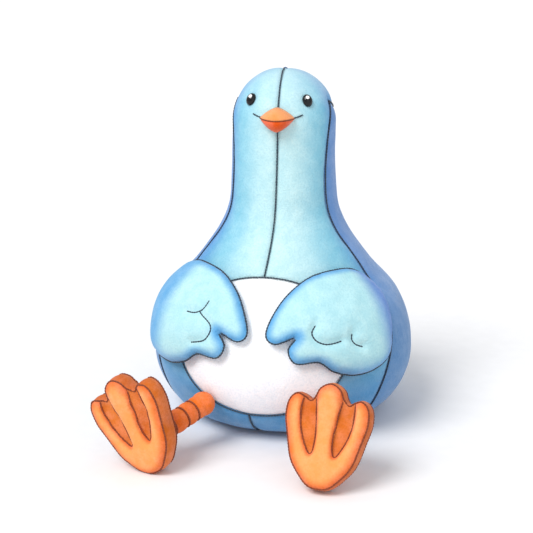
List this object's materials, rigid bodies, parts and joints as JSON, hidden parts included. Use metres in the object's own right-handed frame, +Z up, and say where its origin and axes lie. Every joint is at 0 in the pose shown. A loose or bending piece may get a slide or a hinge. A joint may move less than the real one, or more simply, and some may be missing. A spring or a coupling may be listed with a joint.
{
  "type": "plush penguin",
  "caption": "Sitting plush penguin with a white belly patch, sewn-on wings that swing open, and webbed feet on short soft legs.",
  "frame": {"origin": "centre of the flat underside of the seated body", "axes": "+Z up through the crown, the penguin faces -Y, its own left side is at +X"},
  "size_m": [0.2369, 0.2987, 0.3],
  "materials": {
    "front_plush": "short plush pile",
    "back_plush": "short plush pile",
    "white_plush": "short plush pile",
    "base_plush": "short plush pile",
    "wing_plush": "short plush pile",
    "wing_lining": "short plush pile",
    "foot_plush": "brushed fleece",
    "gusset_plush": "brushed fleece",
    "web_plush": "brushed fleece",
    "leg_plush": "brushed fleece",
    "beak_light": "felt",
    "beak_dark": "felt",
    "eye_plastic": "gloss",
    "washer_plastic": "matte",
    "stuffing": "loose polyester fibre",
    "pouch_cloth": "woven cotton",
    "pellets": "loose pellets",
    "thread_dark": "twisted thread",
    "thread_blue": "twisted thread",
    "thread_orange": "twisted thread"
  },
  "bodies": {
    "torso": {"front_panel_left": "front_plush", "front_panel_right": "front_plush", "back_panel_left": "back_plush", "back_panel_right": "back_plush", "belly_patch": "white_plush", "base_panel": "base_plush", "body_stuffing": "stuffing", "pellet_pouch": "pouch_cloth", "pellet_fill": "pellets", "closing_stitch": "thread_blue", "eye_left": "eye_plastic", "eye_right": "eye_plastic", "eye_washer_left": "washer_plastic", "eye_washer_right": "washer_plastic", "beak_upper": "beak_light", "beak_lower": "beak_dark", "beak_stuffing": "stuffing", "mouth_stitches": "thread_dark"},
    "wing_left": {"wing_left_outer": "wing_plush", "wing_left_inner": "wing_lining", "wing_left_stuffing": "stuffing", "wing_left_quilting": "thread_dark"},
    "wing_right": {"wing_right_outer": "wing_plush", "wing_right_inner": "wing_lining", "wing_right_stuffing": "stuffing", "wing_right_quilting": "thread_dark"},
    "hip_left": {"leg_left_cuff": "leg_plush"},
    "leg_left": {"leg_left_tube": "leg_plush", "leg_left_stuffing": "stuffing", "leg_left_rings": "thread_orange"},
    "foot_left": {"foot_left_sole": "foot_plush", "foot_left_top": "foot_plush", "foot_left_gusset": "gusset_plush", "foot_left_webs": "web_plush", "foot_left_stuffing": "stuffing"},
    "hip_right": {"leg_right_cuff": "leg_plush"},
    "leg_right": {"leg_right_tube": "leg_plush", "leg_right_stuffing": "stuffing", "leg_right_rings": "thread_orange"},
    "foot_right": {"foot_right_sole": "foot_plush", "foot_right_top": "foot_plush", "foot_right_gusset": "gusset_plush", "foot_right_webs": "web_plush", "foot_right_stuffing": "stuffing"}
  },
  "joints": [
    {"name": "wing_left_swing", "type": "hinge", "parent": "torso", "child": "wing_left", "pos_m": [0.09638, -0.03271, 0.10355], "axis": [-0.3894, 0.3855, 0.8365], "range_deg": [0, 70], "stiffness_Nm_per_rad": 0.02},
    {"name": "wing_right_swing", "type": "hinge", "parent": "torso", "child": "wing_right", "pos_m": [-0.09638, -0.03271, 0.10355], "axis": [-0.3894, -0.3855, -0.8365], "range_deg": [0, 70], "stiffness_Nm_per_rad": 0.02},
    {"name": "leg_left_splay", "type": "hinge", "parent": "torso", "child": "hip_left", "pos_m": [0.04485, -0.11101, 0.03807], "axis": [0, 0, 1], "range_deg": [-20, 20], "stiffness_Nm_per_rad": 0.02},
    {"name": "leg_left_lift", "type": "hinge", "parent": "hip_left", "child": "leg_left", "pos_m": [0.04485, -0.11101, 0.03807], "axis": [-0.9135, -0.4067, 0], "range_deg": [0, 30], "stiffness_Nm_per_rad": 0.02},
    {"name": "foot_left_twist", "type": "hinge", "parent": "leg_left", "child": "foot_left", "pos_m": [0.06641, -0.15943, 0.02225], "axis": [0.129, 0.9182, -0.3746], "range_deg": [-25, 25], "stiffness_Nm_per_rad": 0.01},
    {"name": "leg_right_splay", "type": "hinge", "parent": "torso", "child": "hip_right", "pos_m": [-0.04485, -0.11101, 0.03807], "axis": [0, 0, -1], "range_deg": [-20, 20], "stiffness_Nm_per_rad": 0.02},
    {"name": "leg_right_lift", "type": "hinge", "parent": "hip_right", "child": "leg_right", "pos_m": [-0.04485, -0.11101, 0.03807], "axis": [-0.829, 0.5592, 0], "range_deg": [0, 30], "stiffness_Nm_per_rad": 0.02},
    {"name": "foot_right_twist", "type": "hinge", "parent": "leg_right", "child": "foot_right", "pos_m": [-0.07449, -0.15495, 0.02478], "axis": [-0.2917, -0.954, -0.0698], "range_deg": [-25, 25], "stiffness_Nm_per_rad": 0.01}
  ]
}
